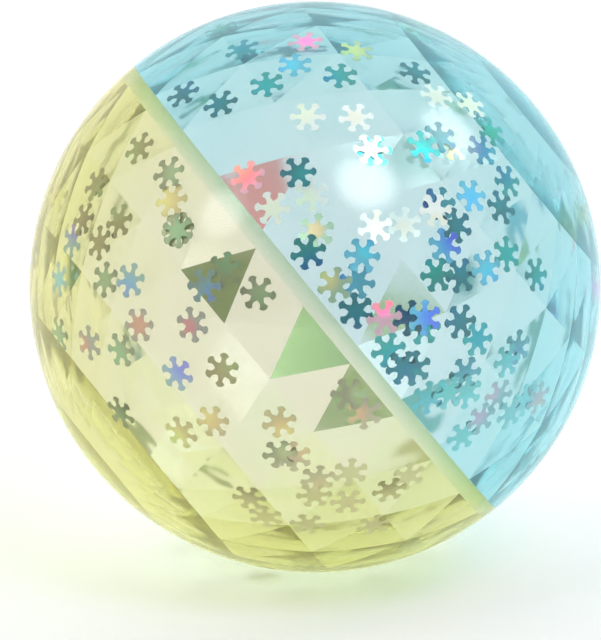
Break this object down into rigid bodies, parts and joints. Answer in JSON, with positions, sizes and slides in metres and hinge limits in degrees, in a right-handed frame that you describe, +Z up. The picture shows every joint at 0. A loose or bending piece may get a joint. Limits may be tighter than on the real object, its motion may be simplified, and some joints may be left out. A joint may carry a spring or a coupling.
{
  "type": "bouncy ball",
  "caption": "Hollow rubber bouncy ball of two clear tinted halves with flat facets inside and snowflake glitter in the wall.",
  "frame": {"origin": "centre of the ball", "axes": "+Z up as the ball lies in the picture, the mould axis in the XZ plane and 38 degrees above +X with the blue half up"},
  "size_m": [0.065, 0.065, 0.065],
  "materials": {
    "blue_rubber": "clear gloss",
    "yellow_rubber": "clear gloss",
    "teal_glitter": "holographic film",
    "slate_glitter": "holographic film",
    "sky_glitter": "holographic film",
    "pearl_glitter": "holographic film",
    "rose_glitter": "holographic film",
    "gold_glitter": "holographic film",
    "olive_glitter": "holographic film",
    "sage_glitter": "holographic film",
    "violet_glitter": "holographic film",
    "coral_glitter": "holographic film",
    "tan_glitter": "holographic film"
  },
  "bodies": {
    "root": {"blue_half": "blue_rubber", "yellow_half": "yellow_rubber", "blue_teal_flakes": "teal_glitter", "blue_slate_flakes": "slate_glitter", "blue_sky_flakes": "sky_glitter", "blue_pearl_flakes": "pearl_glitter", "blue_rose_flakes": "rose_glitter", "blue_gold_flakes": "gold_glitter", "yellow_olive_flakes": "olive_glitter", "yellow_sage_flakes": "sage_glitter", "yellow_violet_flakes": "violet_glitter", "yellow_rose_flakes": "coral_glitter", "yellow_gold_flakes": "tan_glitter"}
  },
  "joints": []
}
